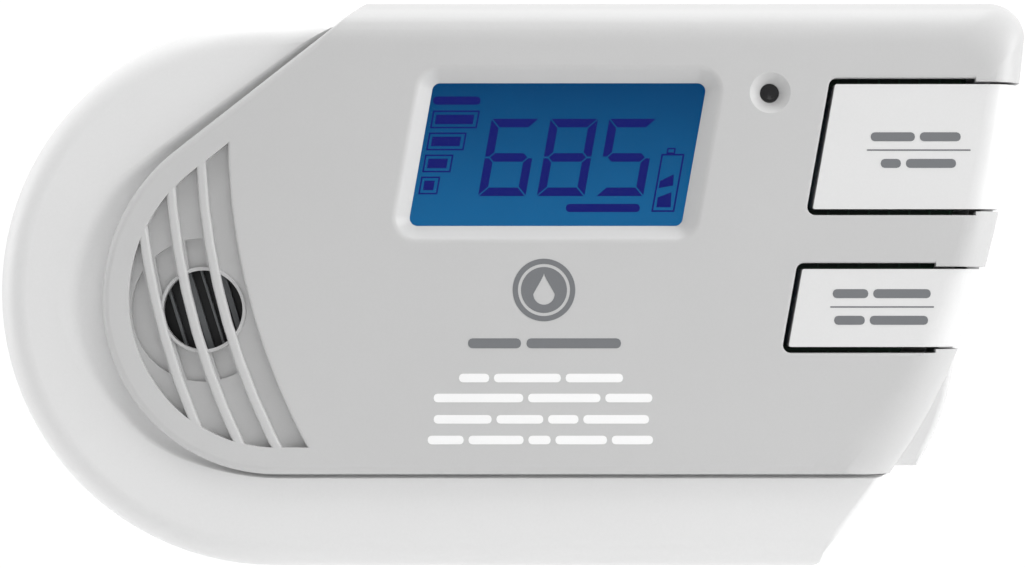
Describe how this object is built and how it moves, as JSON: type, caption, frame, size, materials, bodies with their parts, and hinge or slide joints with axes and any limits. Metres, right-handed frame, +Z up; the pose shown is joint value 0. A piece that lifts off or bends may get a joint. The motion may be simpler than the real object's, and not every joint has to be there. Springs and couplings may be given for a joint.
{
  "type": "carbon monoxide detector",
  "caption": "Plug-in gas and carbon monoxide alarm: slanted grey cover with a sounder grille, blue display and two push buttons on a white housing with a plug at the rear.",
  "frame": {"origin": "on the wall face of the plug base, midway between the two blades", "axes": "+Y out of the wall face along the blades, -Y out of the front cover towards the room, +Z up, +X to the right when the alarm is seen from the front"},
  "size_m": [0.1554, 0.0615, 0.0853],
  "materials": {
    "cover_plastic": "light grey moulded plastic, fine matte texture",
    "housing_plastic": "white moulded plastic, fine matte texture",
    "button_plastic": "white moulded plastic, satin",
    "inner_plastic": "white moulded plastic",
    "label": "satin polyester label, blank",
    "window": "clear polished plastic",
    "display": "blue display glass",
    "backlight": "blue backlight diffuser",
    "black_plastic": "black plastic",
    "seal_rubber": "grey conductive rubber",
    "piezo_brass": "bare brass",
    "board": "green solder resist over glass fibre",
    "steel": "bright zinc-plated steel",
    "plated_brass": "nickel-plated brass",
    "core": "varnished steel laminations",
    "coil_tape": "yellow insulating tape",
    "film_yellow": "yellow capacitor case",
    "varistor_blue": "blue epoxy coating",
    "red_lead": "red wire insulation",
    "black_lead": "black wire insulation",
    "battery_case": "printed metal jacket, dark grey"
  },
  "bodies": {
    "alarm": {"front_cover": "cover_plastic", "rear_housing": "housing_plastic", "plug_base": "housing_plastic", "back_plate": "housing_plastic", "battery_tray": "inner_plastic", "lcd_frame": "inner_plastic", "co_sensor_body": "inner_plastic", "rating_label": "label", "window_lens": "window", "light_pipe": "window", "status_led": "window", "lcd_glass": "display", "backlight_panel": "backlight", "horn_cap": "black_plastic", "horn_base": "black_plastic", "co_sensor_cap": "black_plastic", "gas_sensor_base": "black_plastic", "test_switch_body": "black_plastic", "peak_switch_body": "black_plastic", "controller_chip": "black_plastic", "link_header": "black_plastic", "contact_block": "black_plastic", "smoothing_capacitor": "black_plastic", "zebra_strip_top": "seal_rubber", "zebra_strip_bottom": "seal_rubber", "piezo_disc": "piezo_brass", "main_board": "board", "power_board": "board", "gas_sensor_can": "steel", "fuse": "steel", "battery_stud": "steel", "battery_socket": "steel", "housing_screw_1": "steel", "housing_screw_2": "steel", "housing_screw_3": "steel", "housing_screw_4": "steel", "plate_screw_1": "steel", "plate_screw_2": "steel", "plate_screw_3": "steel", "plate_screw_4": "steel", "board_screw_1": "steel", "board_screw_2": "steel", "neutral_blade": "plated_brass", "hot_blade": "plated_brass", "contact_ring": "plated_brass", "contact_stud": "plated_brass", "transformer_core": "core", "transformer_coil_rear": "coil_tape", "transformer_coil_front": "coil_tape", "film_capacitor": "film_yellow", "varistor": "varistor_blue", "battery_lead_red": "red_lead", "battery_lead_black": "black_lead", "battery": "battery_case"},
    "test_button": {"test_button": "button_plastic", "test_switch_plunger": "black_plastic"},
    "peak_button": {"peak_button": "button_plastic", "peak_switch_plunger": "black_plastic"},
    "battery_door": {"battery_door": "housing_plastic"}
  },
  "joints": [
    {"name": "test_button_press", "type": "slide", "parent": "alarm", "child": "test_button", "axis": [0, 1, 0], "range_m": [0, 0.0008], "stiffness_N_per_m": 1200, "springref_m": -0.0003},
    {"name": "peak_button_press", "type": "slide", "parent": "alarm", "child": "peak_button", "axis": [0, 1, 0], "range_m": [0, 0.0008], "stiffness_N_per_m": 1200, "springref_m": -0.0003},
    {"name": "battery_door_hinge", "type": "hinge", "parent": "alarm", "child": "battery_door", "pos_m": [-0.053, -0.0116, 0.0184], "axis": [1, 0, 0], "range_deg": [0, 95]}
  ]
}
